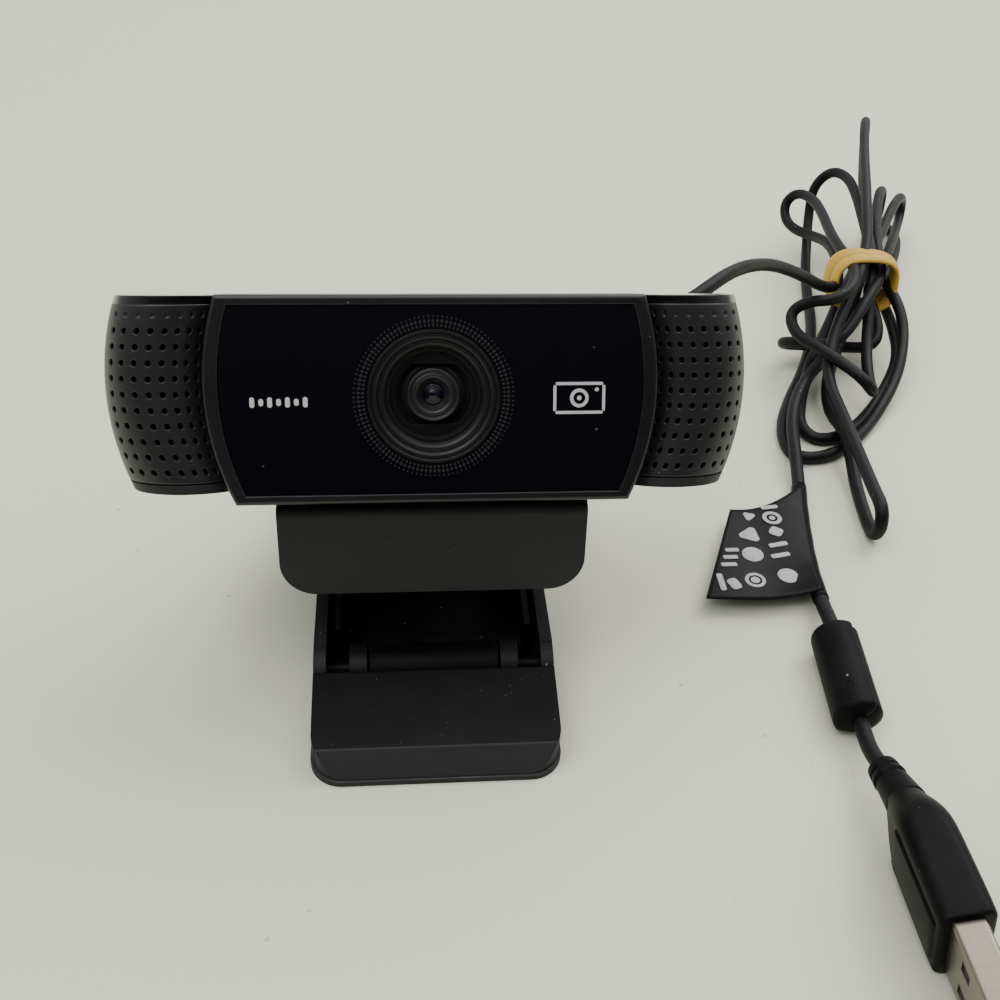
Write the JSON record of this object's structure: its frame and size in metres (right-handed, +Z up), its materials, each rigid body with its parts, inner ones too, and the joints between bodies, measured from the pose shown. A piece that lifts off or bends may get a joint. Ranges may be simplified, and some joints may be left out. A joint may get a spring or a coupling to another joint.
{
  "type": "webcam",
  "caption": "Desk webcam standing on its own unfolded monitor clip, with a hinged head, arm and foot, a lens in a glossy window, and a bundled lead with a plug.",
  "frame": {"origin": "under the middle of the camera and its clip, without the cord, on the surface that they stand on", "axes": "+X along the head's width to the side of the cord, +Y from the lens to the rear hinge, +Z up"},
  "size_m": [0.188, 0.2488, 0.0653],
  "materials": {
    "black_shell": "moulded with a fine grain",
    "gloss_trim": "polished",
    "soft_pad": "soft touch",
    "steel": "satin",
    "brass": "turned",
    "circuit_board": "solder mask",
    "chip": "moulded",
    "copper": "wound",
    "lens_glass": "coated",
    "window": "polished, opaque at the edges",
    "cord_jacket": "smooth satin",
    "tan_rubber": "stretched natural rubber",
    "label": "moulded insulator",
    "cloth": "fine woven",
    "grille": "moulded with fine holes",
    "trim_ring": "fine turned lines",
    "aluminium": "stamped",
    "ferrite_cover": "moulded, satin",
    "ferrite": "sintered",
    "plug_body": "moulded, satin",
    "plug_shell": "plated sheet",
    "label_face": "printed film"
  },
  "bodies": {
    "plate": {"clip_plate": "black_shell", "lip_pad": "soft_pad", "plate_pad": "soft_pad", "tilt_pin": "steel", "tilt_washers": "steel", "rear_pin": "steel", "rear_washers": "steel", "lead_cord": "cord_jacket", "cord_hank": "cord_jacket", "rubber_band": "tan_rubber", "tail_cord": "cord_jacket", "ferrite_cover": "ferrite_cover", "ferrite_core": "ferrite", "ferrite_cord": "cord_jacket", "plug_cord": "cord_jacket", "plug_relief": "cord_jacket", "plug_body": "plug_body", "plug_shell": "plug_shell", "plug_insulator": "label", "plug_contacts": "brass", "label_flag": "label_face"},
    "head": {"front_frame": "black_shell", "front_window": "window", "roof_strip": "gloss_trim", "rear_housing": "black_shell", "right_grille": "grille", "left_grille": "grille", "right_acoustic_cloth": "cloth", "left_acoustic_cloth": "cloth", "lens_trim_ring": "trim_ring", "lens_cup": "black_shell", "lens_holder": "black_shell", "focus_magnets": "steel", "infrared_filter": "lens_glass", "image_sensor": "chip", "sensor_board": "circuit_board", "chassis": "black_shell", "chassis_screws": "steel", "main_board": "circuit_board", "processor": "chip", "heat_spreader": "aluminium", "microphone_boards": "circuit_board", "microphones": "steel", "cord_gland": "soft_pad", "inner_lead": "cord_jacket"},
    "focus": {"lens_barrel": "black_shell", "front_lens": "lens_glass", "rear_lens": "lens_glass", "focus_coil": "copper"},
    "arm": {"arm_shell": "black_shell", "arm_pad": "soft_pad", "tripod_insert": "brass", "foot_pin": "steel"},
    "foot": {"foot_shell": "black_shell", "foot_pad": "soft_pad"}
  },
  "joints": [
    {"name": "head_tilt", "type": "hinge", "parent": "plate", "child": "head", "pos_m": [0, -0.00837, 0.03514], "axis": [1, 0, 0], "range_deg": [-25, 8], "deforming": ["lead_cord"]},
    {"name": "arm_fold", "type": "hinge", "parent": "plate", "child": "arm", "pos_m": [0, 0.03525, 0.0075], "axis": [1, 0, 0], "range_deg": [-7, 80]},
    {"name": "foot_fold", "type": "hinge", "parent": "arm", "child": "foot", "pos_m": [0, -0.02125, 0.0049], "axis": [1, 0, 0], "range_deg": [-45, 35]},
    {"name": "lens_focus", "type": "slide", "parent": "head", "child": "focus", "axis": [0, -0.8829, 0.4695], "range_m": [0, 0.0003], "stiffness_N_per_m": 40}
  ]
}
